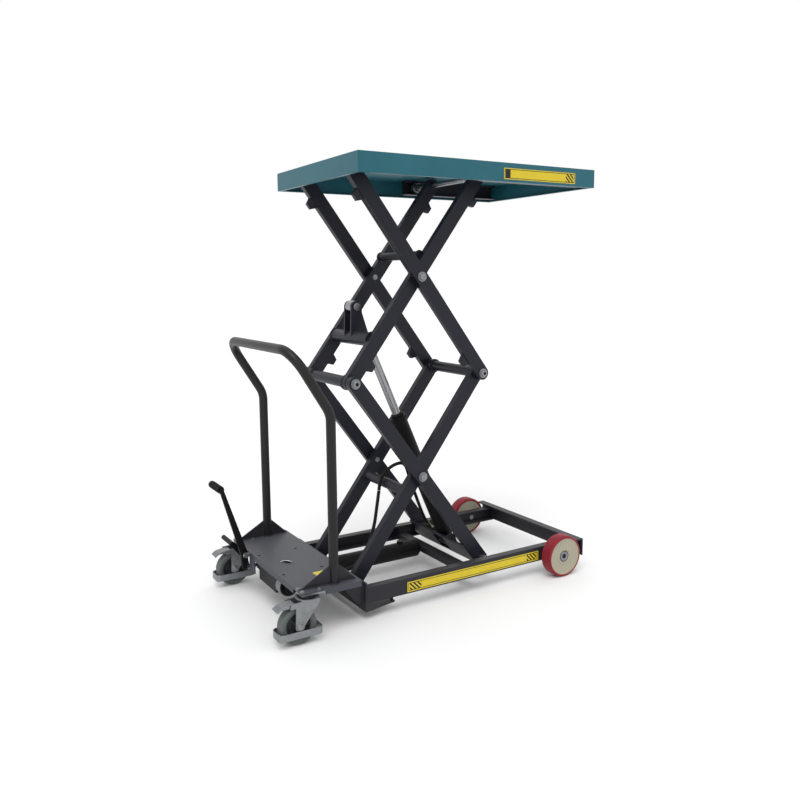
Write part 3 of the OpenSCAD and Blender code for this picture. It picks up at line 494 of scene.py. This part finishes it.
# hydraulic hose, in two stretches
print("hoses")
hose = {"diameter": 0.013, "rib": 0.0004, "ribPitch": 0.0028, "sides": 20, "smooth": 24,
        "lower": [(-60, -60, 104), (0, -60, 104), (45, -58, 108), (85, -48, 128), (118, -38, 160),
                  (142, -30, 200), (160, -24, 245), (172, -18, 290), (182, -12, 328), (190, -8, 362)],
        "upper": [(190.3, -7.9, 363.2), (196, -5, 388), (208, -2, 412), (228, 0, 430), (254, 4, 444),
                  (286, 10, 450), (314, 22, 444), (338, 36, 424), (358, 50, 388), (376, 57, 346),
                  (396, 61, 300), (416, 64, 252), (436, 65, 206), (454, 65, 174)]}


def makeHose(name, route, node, start, end):
    path = catmull([at(*p) for p in route], hose["smooth"])
    length = sum((b - a).length for a, b in zip(path, path[1:]))
    count = int(length / hose["ribPitch"] * 4)  # four rings to a rib
    walked, fine, k = [0.0], [], 0
    for a, b in zip(path, path[1:]):
        walked.append(walked[-1] + (b - a).length)
    for i in range(count + 1):
        s = length * i / count
        while k < len(path) - 2 and walked[k + 1] < s:
            k += 1
        fine.append(path[k].lerp(path[k + 1], min(1, (s - walked[k]) / (walked[k + 1] - walked[k]))))
    radius = hose["diameter"] / 2
    build = Build(name, None, "hose", sharp=60)
    build.tube(fine, lambda i: radius - (hose["rib"] if i % 4 in (0, 1) else 0), hose["sides"])
    piece = build.done([node])
    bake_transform(piece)


makeHose("hoseLower", hose["lower"], "hose_lower",
         at(-20, -60, 104), at(188, -10, 355))
makeHose("hoseUpper", hose["upper"], "hose_upper",
         at(230, 0, 430), at(440, 65, 200))

# everything that keeps its CAD outline and gets rounded edges
print("plates and frame")
edgeWidths = {
    "rail_right": 0.0022, "rail_left": 0.0022, "rear_cross_member": 0.0018, "front_cross_member": 0.0018,
    "mid_cross_bar": 0.002, "deck_plate": 0.0016, "deck_gussets": 0.0012, "platform_pan": 0.0014,
    "platform_tracks": 0.0014, "lower_inner_arms": 0.0016, "lower_outer_arms": 0.0016,
    "upper_inner_arms": 0.0016, "upper_outer_arms": 0.0016, "cylinder_saddle": 0.0012, "lift_tube": 0.0012,
    "pump_body": 0.0022, "pedal_lever": 0.0016, "release_lever": 0.0014, "castor_plates": 0.0012,
    "castor_fork_right": 0.0009, "castor_fork_left": 0.0009, "castor_guard_right": 0.0009,
    "castor_guard_left": 0.0009, "castor_brake_right": 0.0014, "castor_brake_left": 0.0014,
    "cylinder_fittings": 0.0009, "pump_fitting": 0.0009,
}
for node, width in edgeWidths.items():
    rounded(node, width)

# the other nodes keep their shape and get the finish of their slot
for node in frame["nodes"]:
    if node not in edgeWidths and slotOf[node] in finishes:
        data = frame["nodes"][node].data
        data.materials.clear()
        data.materials.append(finishes[slotOf[node]])

print("front wheels")
frontWheel = {"x": 827, "y": 310, "z": 80, "radius": 80, "half": 25, "core": 71,
              "axle": 10, "headOut": 17.6, "socket": 0.0165, "socketT": 0.0012}


def frontWheelPieces(side, way):
    # one wheel; gives back its axle
    w = frontWheel
    centre, out = at(w["x"], way * w["y"], w["z"]), (0, way, 0)
    body, r, h = "front_wheel_" + side, w["radius"], w["half"]
    core, axleR, headOut = w["core"], w["axle"], w["headOut"]
    shoulder = [(r - 8, h), (r - 5, h - 0.4), (r - 2.2, h - 2), (r - 0.6, h - 4.8), (r, h - 8.5)]
    tread = [(core - 1, -h + 1)] + bothWays(shoulder) + [(core + 0.6, h - 0.4), (core - 1, h - 2)]
    Build("frontTread." + side, body, "red_polyurethane").lathe(tread, centre, out, 96).done(
        ["front_tyre_" + side])
    Build("frontCore." + side, body, "wheel_core").lathe([
        (22, -24), (30, -24), (32, -19), (48, -18), (60, -21), (71.4, -22), (71.4, 23.4), (69.5, 24),
        (67, 23.8), (65.8, 22.4), (58, 20.8), (44, 19.4), (32, 18.8), (30, 19.6), (27, 19.8), (26, 18.8),
        (22, 18.6)], centre, out, 96).done(["front_core_" + side])
    Build("frontBearing." + side, body, "wheel_core", "dark_steel").lathe([
        (10.1, -24), (26, -24), (26, 17.8), (25, 18.3), (20, 18.3), (19, 17.4), (17.4, 16.8), (10.1, 16.8)],
        centre, out, 64).done()
    axle = Build("frontAxle." + side, "base", "zinc")
    axle.lathe([(0, -45), (axleR, -45), (axleR, 17), (9, headOut), (0, headOut)], centre, out, 48, False)
    axle.lathe(sleeve(axleR, 16, -32, -26.2), centre, out, 48)
    axle.lathe([(9.6, 17), (17.6, 17), (18.4, 17.8), (18.4, 18.8), (17.6, 19.4), (13, 19.4), (12.2, 18.8),
                (9.6, 18.6)], centre, out, 48)
    axlePiece = axle.done()
    # a thin hex in the black seal finish on the axle's end: painted shade standing in for the depth of its
    # hex socket
    socketFloor = centre + Vector((0, way * headOut / 1000, 0))
    Build("frontSocketShade." + side, "base", "zinc", "seal").hexHead(
        socketFloor, out, w["socket"], w["socketT"]).done()
    return axlePiece


frontAxles = [frontWheelPieces(side, way) for side, way in sides]
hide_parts("front_axles")

print("castors")
castor = {"x": -282, "y": 296, "z": 62.5, "radius": 62.5, "half": 19, "swivelX": -244, "top": 150,
          "forkOut": 26, "spokes": 5, "spokeIn": 0.007, "spokeT": 0.006,
          "spoke": [(0.017, -0.0035), (0.017, 0.0035), (0.040, 0.0045), (0.040, -0.0045)],
          "ridges": 4, "ridgeX": 60.5, "ridgeZ": 132.4, "ridgeRun": 10, "ridgeDrop": 7.4,
          "ridgeHalf": 0.017, "ridgeR": 0.0012}


def castorWheelPieces(side, centre):
    c, body, r, h = castor, "castor_wheel_" + side, castor["radius"], castor["half"]
    Build("castorTread." + side, body, "castor_rubber").lathe(bothWays([
        (42, h - 5), (44, h - 3.5), (r - 9, h - 0.6), (r - 6, h), (r - 3.4, h - 0.8), (r - 1.4, h - 3),
        (r - 0.4, h - 6.5), (r, h - 11)]), centre, leftward, 96).done(["castor_wheel_" + side])
    rim = Build("castorRim." + side, body, "castor_rubber", "rim")
    rim.lathe(bothWays([(12, h + 1), (17, h + 1), (18, h - 1), (19, 9), (36, 8), (39, 12), (43, 14)]),
              centre, leftward, 64)
    for k in range(c["spokes"]):
        a = 2 * math.pi * k / c["spokes"]
        for face in (-1, 1):
            low = [centre + Vector((x * math.cos(a) - y * math.sin(a), face * c["spokeIn"],
                                    x * math.sin(a) + y * math.cos(a))) for x, y in c["spoke"]]
            rim.rings([low, [p + Vector((0, face * c["spokeT"], 0)) for p in low]])
    rim.done()
    Build("castorBearing." + side, body, "castor_rubber", "dark_steel").lathe(
        sleeve(6.1, 12.5, -h - 1.5, h + 1.5), centre, leftward, 48).done()


def castorForkPieces(side, way, centre):
    # axle caps, the swivel's dust ring and crown, and the ridges on the brake pedal
    c, body = castor, "castor_fork_" + side
    caps = Build("castorAxleCaps." + side, body, "zinc")
    for s in (-1, 1):
        caps.lathe([(0, 6.6), (5, 6.5), (9, 5.8), (10.6, 4.2), (11, 2.2), (14.5, 2.0), (15.4, 1.2),
                    (15.6, -0.4), (0, -0.4)],
                   centre + Vector((0, s * c["forkOut"] / 1000, 0)), (0, s, 0), 48, False)
    caps.done()
    crown = at(c["swivelX"], way * c["y"], c["top"])
    Build("swivelDust." + side, "base", "zinc", "seal").lathe([
        (16, 0.1), (31, 0.1), (32, 1.2), (31.5, 3.9), (16, 3.9)], crown, upward, 64).done()
    Build("swivelCrown." + side, body, "zinc").lathe([
        (30, -6.4), (38.4, -6.4), (39.4, -4), (39, -1.2), (37, -0.1), (33.5, -0.1), (33.2, -1.5),
        (30, -1.5)], crown, upward, 64).done()
    ridges = Build("brakeRidges." + side, "castor_brake_" + side, "zinc", "dark_steel")
    for k in range(c["ridges"]):
        along = k / (c["ridges"] - 1)
        p = at(c["x"] - c["ridgeX"] - c["ridgeRun"] * along, way * c["y"],
               c["ridgeZ"] - c["ridgeDrop"] * along)
        reach = Vector((0, c["ridgeHalf"], 0))
        ridges.tube([p - reach, p + reach], c["ridgeR"], 8)
    ridges.done()


for side, way in sides:
    wheelCentre = at(castor["x"], way * castor["y"], castor["z"])
    castorWheelPieces(side, wheelCentre)
    castorForkPieces(side, way, wheelCentre)

print("pivots")
pivotHead = {"faceY": 191, "washer": 17.5, "washerT": 2.6, "head": 12.5, "headT": 8.5, "socket": 5.6,
             "plainHole": 2.2}
shaft = {"tube": 20, "half": 134.9, "collarY": 125, "weldY": 123.6, "weld": 0.0026}
knee, centreZ = kneeZ * 1000, basePivotZ * 1000 + stageH * 500
spanMm = armSpan * 1000


def pinHead(build, x, z, way, socketShade=None):
    # washer and head on the outer arm; the optional build gathers black hexes on the socket floors, painted
    # shade for the sockets' depth, and without it the head is plain
    p = pivotHead
    place, out = at(x, way * p["faceY"], z), (0, way, 0)
    t, top = p["washerT"], p["washerT"] + p["headT"]
    build.lathe([(0, 0), (p["washer"], 0), (p["washer"], t - 0.6), (p["washer"] - 0.8, t), (0, t)],
                place, out, 48, False)
    hole, wallDrop, floorDrop = (p["socket"] + 0.8, 4, 4) if socketShade else (p["plainHole"], 1, 1.4)
    build.lathe([(0, t - 0.4), (p["head"] + 1.5, t - 0.4), (p["head"] + 1.2, t + 1.6), (p["head"], t + 2.2),
                 (p["head"], top - 1.8), (p["head"] - 0.7, top - 0.6), (p["head"] - 2, top), (hole, top),
                 (hole - 0.6, top - wallDrop), (0, top - floorDrop)], place, out, 48, False)
    if socketShade:
        socketShade.hexHead(place + Vector((0, way * (top - 4.2) / 1000, 0)), out, 2 * p["socket"] / 1000, 0.0006)


def shaftSet(name, body, x, z, node):
    # cross shaft: tube, collars with weld rings, then a washer and socket head at each end, whose black
    # socket floor is painted shade
    build, tube = Build(name, body, "arms"), shaft["tube"]
    build.lathe(sleeve(0, tube, -shaft["half"], shaft["half"]), at(x, 0, z), leftward, 64, False)
    for way in (-1, 1):
        build.lathe([(tube - 1, -1), (tube + 6, -1), (tube + 7, 0), (tube + 7, 8.6), (tube + 6, 9.9),
                     (tube - 1, 9.9)], at(x, way * shaft["collarY"], z), (0, way, 0), 64)
        build.ringBead(at(x, way * shaft["weldY"], z), tube / 1000 + 0.0014, leftward, shaft["weld"])
    build.done([node])
    # the black hexes in the seal finish on the socket floors are painted shade for the sockets' depth
    heads, socketShade = Build(name + ".heads", body, "zinc"), Build(name + ".socketShades", body, "zinc", "seal")
    for way in (-1, 1):
        pinHead(heads, x, z, way, socketShade)
    heads.done()
    socketShade.done()


def centrePins(name, body, z, node):
    pins = Build(name + ".heads", body, "zinc")
    for way in (-1, 1):
        pinHead(pins, spanMm / 2, z, way)
        pins.lathe(sleeve(0, 10, 0, 57), at(spanMm / 2, way * 135, z), (0, way, 0), 32, False)
    pins.done([node])


shaftSet("rightKnee", "lower_inner", spanMm, knee, "mid_right_shaft")
shaftSet("leftKnee", "upper_inner", 0, knee, "mid_left_shaft")
centrePins("lowerCentre", "lower_inner", centreZ, "lower_centre_pins")
centrePins("upperCentre", "upper_inner", knee + stageH * 500, "upper_centre_pins")

print("handle")
handle = {"radius": 16, "half": 284, "x": -142, "deck": 166, "bendZ": 724, "topZ": 931, "lean": 129,
          "bendRadius": 90, "cornerRadius": 80, "lowStraight": 120, "highStraight": 100}
handleWeld = {"ring": 0.0172, "ringT": 0.0034, "legX": 0.0166, "legY": 2.8, "legZ": 0.004, "legRun": 0.055,
              "legT": 0.0024, "footY": 3.2, "footZ": 166.6, "footX": ((-258, -162), (-122, -64)),
              "footT": 0.0026}


def handleRoute(h, steps=14):
    # up one leg, round the lean and the corner, and the same mirrored
    lean = math.atan2(h["lean"], h["topZ"] - h["bendZ"])
    rise = h["bendRadius"] * math.tan(lean / 2)
    cornerAt = math.hypot(h["lean"], h["topZ"] - h["bendZ"]) - h["cornerRadius"]
    half = [at(h["x"], h["half"], h["deck"]), at(h["x"], h["half"], h["deck"] + h["lowStraight"]),
            at(h["x"], h["half"], h["bendZ"] - rise - h["highStraight"])]
    for i in range(steps + 1):
        a = lean * i / steps
        half.append(at(h["x"] - h["bendRadius"] * (1 - math.cos(a)), h["half"],
                       h["bendZ"] - rise + h["bendRadius"] * math.sin(a)))
    for i in range(steps + 1):
        a = math.pi / 2 * i / steps
        s = cornerAt + h["cornerRadius"] * math.sin(a)
        half.append(at(h["x"] - s * math.sin(lean), h["half"] - h["cornerRadius"] * (1 - math.cos(a)),
                       h["bendZ"] + s * math.cos(lean)))
    return half + mirrored(half)[::-1]


def handleWelds(w):
    welds = Build("handleWelds", "base", "frame", "weld", 60)
    for way in (-1, 1):
        foot = at(handle["x"], way * handle["half"], handle["deck"] + 1)
        welds.ringBead(foot, w["ring"], upward, w["ringT"])
        for dx in (-1, 1):  # the gusset meets the leg on both edges
            for dy in (-w["legY"], w["legY"]):
                start = foot + Vector((dx * w["legX"], dy / 1000, w["legZ"]))
                welds.bead(start, start + Vector((0, 0, w["legRun"])), w["legT"])
        for dy in (-w["footY"], w["footY"]):  # the gusset's foot on the deck
            y = way * handle["half"] + dy
            for fromX, toX in w["footX"]:
                welds.bead(at(fromX, y, w["footZ"]), at(toX, y, w["footZ"]), w["footT"])
    welds.done()


Build("handleTube", "base", "handle", sharp=60).tube(
    handleRoute(handle), handle["radius"] / 1000, 40).done(["handle_tube"])
handleWelds(handleWeld)

# frame and arm welds; y is counted from the middle, for both sides
print("welds")
frameWeld = {"thick": 0.0026, "thin": 0.0022, "acrossY": (241, 271), "acrossZ": (59.8, 114.2),
             "endX": (928, -12), "frontEnd": (928, 272.6), "frontZ": (61, 113),
             "rearEnds": ((-18.5, 249), (-18.5, 257)), "rearZ": (62, 128),
             "crossBar": ((420, 239.5), (460, 239.5)), "crossBarZ": (60, 82),
             "lugX": -11.6, "lugY": (126, 134, 161, 169), "lugZ": (64, 110)}
armWeld = {"y": 134, "over": 0.001, "size": 0.003, "lowShare": 0.42, "highShare": 0.585,
           "lowRadius": 19, "liftRadius": 25, "highRadius": 15, "highOff": 25,
           "liftX": 97, "liftAboveKnee": 142}


def uprightBead(build, x, y, heights, size):
    low, high = heights
    build.bead(at(x, y, low), at(x, y, high), size)


def frameWelds(w):
    welds = Build("frameWelds", "base", "frame", "weld", 60)
    inner, outer = w["acrossY"]
    for way in (-1, 1):
        for z in w["acrossZ"]:
            for x in w["endX"]:
                welds.bead(at(x, way * inner, z), at(x, way * outer, z), w["thick"])
        x, y = w["frontEnd"]
        uprightBead(welds, x, way * y, w["frontZ"], w["thick"])
        for x, y in w["rearEnds"]:
            uprightBead(welds, x, way * y, w["rearZ"], w["thick"])
        for x, y in w["crossBar"]:
            uprightBead(welds, x, way * y, w["crossBarZ"], w["thin"])
        for y in w["lugY"]:
            uprightBead(welds, w["lugX"], way * y, w["lugZ"], w["thin"])
    welds.done()


def armWelds(name, body, x, z, radius):
    # where a cross tube meets the two inner arms
    welds = Build(name, body, "arms", "weld", 60)
    for way in (-1, 1):
        welds.ringBead(at(x, way * armWeld["y"], z), radius / 1000 + armWeld["over"], leftward,
                       armWeld["size"])
    welds.done()


frameWelds(frameWeld)
lowShare, highShare, highOff = armWeld["lowShare"], armWeld["highShare"], armWeld["highOff"]
armWelds("lowerTubeWelds", "lower_inner", spanMm * lowShare,
         basePivotZ * 1000 + stageH * 1000 * lowShare, armWeld["lowRadius"])
armWelds("liftTubeWelds", "upper_inner", armWeld["liftX"], knee + armWeld["liftAboveKnee"],
         armWeld["liftRadius"])
armWelds("upperTubeWelds", "upper_inner", spanMm * highShare - highOff * math.sin(armAngle),
         knee + stageH * 1000 * highShare + highOff * math.cos(armAngle), armWeld["highRadius"])

print("cylinder")
cylinder = {"footX": 505, "footZ": 120, "eyeX": 96, "eyeAboveKnee": 252,
            "welds": ((23, 0.0275, 0.0034), (52, 0.0302, 0.0016)),
            "gland": 548, "lugs": 8, "lugZ": (0.002, 0.0125),
            "lug": [(0.0322, -0.0045), (0.0352, -0.0038), (0.0352, 0.0038), (0.0322, 0.0045)],
            "wiper": 571}
barrelFoot = at(cylinder["footX"], 0, cylinder["footZ"])
rodEye = at(cylinder["eyeX"], 0, knee + cylinder["eyeAboveKnee"])
cylinderAxis = (rodEye - barrelFoot).normalized()


def alongCylinder(mm):
    return barrelFoot + cylinderAxis * (mm / 1000)


def barrelPieces(c):
    welds = Build("barrelWelds", "cylinder_barrel", "hydraulic_black", sharp=60)
    for along, radius, size in c["welds"]:  # along the cylinder from its foot, in millimetres
        welds.ringBead(alongCylinder(along), radius, cylinderAxis, size)
    welds.done()
    lugs = Build("glandCollar", "cylinder_barrel", "hydraulic_black")
    for k in range(c["lugs"]):  # spanner lugs round the gland
        spin = Matrix.Rotation(2 * math.pi * k / c["lugs"], 4, "Z")
        turn = Matrix.Translation(alongCylinder(c["gland"])) @ axisTurn(cylinderAxis) @ spin
        lugs.rings([[turn @ Vector((x, y, z)) for x, y in c["lug"]] for z in c["lugZ"]])
    lugs.done()
    Build("rodWiper", "cylinder_barrel", "hydraulic_black", "seal").lathe(
        [(16.2, 0), (22.5, 0), (22, 3), (18.5, 4.4), (16.2, 5.2)],
        alongCylinder(c["wiper"]), cylinderAxis, 48).done()


barrelPieces(cylinder)

# deck, pump and foot controls
print("deck")
deckBolts = {"x": (-264, -206), "y": (274, 304), "washerZ": 166, "topZ": 170.8}
spring = {"x": -232, "z": 118, "radius": 33.2, "wire": 1.7, "turns": 7, "steps": 24, "from": -88, "to": -126}
pedal = {"pinX": -286, "pinZ": 160, "reach": 258, "lean": 17, "ribs": 14, "ribsFrom": 168, "ribPitch": 6.6,
         "ribRadius": 0.0126, "ribSize": 0.0014}
slotLatch = {"radius": 0.0026, "smooth": 8, "route": [
    (-214, -14, 166.5), (-206, -17, 169.5), (-196, -24, 170.5), (-186, -33, 169), (-181, -43, 166.5)]}


def boltTrims(b):
    trims = Build("deckWashers", "base", "zinc")
    for way in (-1, 1):
        for x in b["x"]:
            for y in b["y"]:
                trims.lathe([(4, 0), (8.6, 0), (8.6, 1.0), (8, 1.4), (4, 1.4)],
                            at(x, way * y, b["washerZ"]), upward, 32)
                trims.lathe([(0, 1), (2.6, 1), (2.9, 0.6), (3.9, 0.2), (4, 0), (0, 0)],
                            at(x, way * y, b["topZ"]), upward, 24, False)
    trims.done()


def pumpSpring(s):
    coil, count = [], s["turns"] * s["steps"]
    for i in range(count + 1):
        a = 2 * math.pi * i / s["steps"]
        y = s["from"] + (s["to"] - s["from"]) * (i / count)
        coil.append(at(s["x"] + s["radius"] * math.cos(a), y, s["z"] + s["radius"] * math.sin(a)))
    Build("pumpSpring", "base", "zinc", sharp=60).tube(coil, s["wire"] / 1000, 8).done()


def gripRibs(p):
    ribs, lean = Build("gripRibs", "pump_pedal", "grip", sharp=60), math.radians(p["lean"])
    tip = at(p["pinX"] - p["reach"] * math.sin(lean), 0, p["pinZ"] + p["reach"] * math.cos(lean))
    for k in range(p["ribs"]):
        place = tip + Vector((0, (p["ribsFrom"] + p["ribPitch"] * k) / 1000, 0))
        ribs.ringBead(place, p["ribRadius"], leftward, p["ribSize"])
    ribs.done()


boltTrims(deckBolts)
pumpSpring(spring)
gripRibs(pedal)
Build("slotLatch", "base", "chrome").tube(
    catmull([at(*p) for p in slotLatch["route"]], slotLatch["smooth"]), slotLatch["radius"], 12).done()

print("films")
railSticker = {"x": (148, 745), "y": (-272.6, -272), "z": (65, 101),
               "stripes": ((0.010, 0.058), (0.539, 0.587))}
panSticker = {"x": (525, 855), "y": (-315.6, -315), "underTop": (56, 18), "inset": 0.003,
              "marks": ((0.006, 0.028, 0.005, 0.033),), "stripes": ((0.284, 0.322),)}
deckSticker = {"corners": ((-164, -166, 166), (-162, -204, 166), (-98, -164, 166)), "thickness": 0.0006,
               "border": ((9, 9), (9.1, 9.1))}  # the border box lies off the piece, which stays plain


def filmPiece(name, body, node, low, high, **pattern):
    finish = film(name, ((low.x, low.z), (high.x, high.z)), **pattern)
    Build(name, body, "decal", finish).block(low, high).done([node])


def cornerPoints(xs, ys, zs):
    return at(xs[0], ys[0], zs[0]), at(xs[1], ys[1], zs[1])


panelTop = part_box("platform_pan")[1].z * 1000
panZ = [panelTop - under for under in panSticker["underTop"]]
railLow, railHigh = cornerPoints(railSticker["x"], railSticker["y"], railSticker["z"])
panLow, panHigh = cornerPoints(panSticker["x"], panSticker["y"], panZ)
filmPiece("railFilm", "base", "base_decals", railLow, railHigh, stripes=railSticker["stripes"])
filmPiece("platformFilm", "platform", "platform_decal", panLow, panHigh, inset=panSticker["inset"],
          marks=panSticker["marks"], stripes=panSticker["stripes"])
triangle = [at(*p) for p in deckSticker["corners"]]
Build("deckFilm", "base", "decal", film("deckFilm", deckSticker["border"])).rings(
    [triangle, [p + Vector((0, 0, deckSticker["thickness"])) for p in triangle]]).done()

print("stage")
stageSettings = {"floor": (236, 236, 236), "floorRough": 0.6, "size": 60, "world": 1.0, "sun": 1.3,
                 "sunWidth": 35, "sunFrom": (-1.2, -1.6, 3.4)}


def makeStage(s):
    bm = bmesh.new()
    half = s["size"] / 2
    bm.faces.new([bm.verts.new((x * half, y * half, 0)) for x, y in ((-1, -1), (1, -1), (1, 1), (-1, 1))])
    floor = objectFrom(bm, "floor")
    look = Finish("floorPaint")
    look.set(colour=shade(s["floor"]), rough=s["floorRough"])
    floor.data.materials.append(look.material)
    world = bpy.data.worlds.new("studio")
    scene.world = world
    world.use_nodes = True
    ground = world.node_tree.nodes["Background"]
    ground.inputs["Color"].default_value = (1, 1, 1, 1)
    ground.inputs["Strength"].default_value = s["world"]


def makeSun(s):
    data = bpy.data.lights.new("sun", "SUN")
    data.energy, data.angle = s["sun"], math.radians(s["sunWidth"])
    lamp = bpy.data.objects.new("sun", data)
    scene.collection.objects.link(lamp)
    lamp.rotation_euler = (-Vector(s["sunFrom"])).to_track_quat("-Z", "Y").to_euler()


makeStage(stageSettings)
makeSun(stageSettings)
scene.view_settings.view_transform = "Standard"
